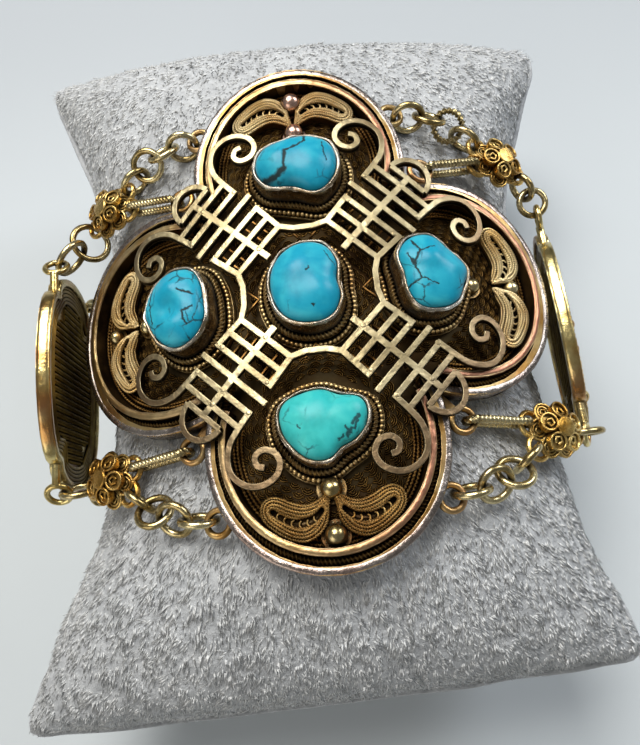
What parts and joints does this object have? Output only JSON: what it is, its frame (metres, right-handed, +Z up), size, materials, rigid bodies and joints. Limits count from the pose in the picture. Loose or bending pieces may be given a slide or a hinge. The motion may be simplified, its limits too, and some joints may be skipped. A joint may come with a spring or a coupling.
{
  "type": "filigree bracelet on display cushion",
  "caption": "Gilt filigree bracelet with a bent four-lobed panel, freeform turquoise stones, chain links and lobed side panels, closed round a plush display cushion.",
  "frame": {"origin": "middle of the cushion's footprint, on the surface that it stands on", "axes": "+Z up, +Y along the arm towards the far end of the cushion in the picture, +X to the right round the wrist"},
  "size_m": [0.088, 0.1088, 0.0521],
  "materials": {
    "grey_plush": "short mottled plush pile",
    "gilt_silver": "worn gilt over silver, darkened in the recesses",
    "turquoise": "polished turquoise with dark matrix veins"
  },
  "bodies": {
    "root": {"display_cushion": "grey_plush", "centre_panel": "gilt_silver", "fret_overlay": "gilt_silver", "stone_top": "turquoise", "stone_left": "turquoise", "stone_centre": "turquoise", "stone_right": "turquoise", "stone_bottom": "turquoise", "side_panel_left": "gilt_silver", "side_panel_right": "gilt_silver", "box_clasp": "gilt_silver", "flower_upper_left": "gilt_silver", "flower_upper_right": "gilt_silver", "flower_lower_left": "gilt_silver", "flower_lower_right": "gilt_silver", "bar_link_upper_left": "gilt_silver", "bar_link_upper_right": "gilt_silver", "bar_link_lower_left": "gilt_silver", "bar_link_lower_right": "gilt_silver", "inner_chain_upper_left": "gilt_silver", "inner_chain_upper_right": "gilt_silver", "inner_chain_lower_left": "gilt_silver", "inner_chain_lower_right": "gilt_silver", "outer_chain_upper_left": "gilt_silver", "outer_chain_upper_right": "gilt_silver", "outer_chain_lower_left": "gilt_silver", "outer_chain_lower_right": "gilt_silver", "back_chain_upper_left": "gilt_silver", "back_chain_upper_right": "gilt_silver", "back_chain_lower_left": "gilt_silver", "back_chain_lower_right": "gilt_silver"}
  },
  "joints": []
}
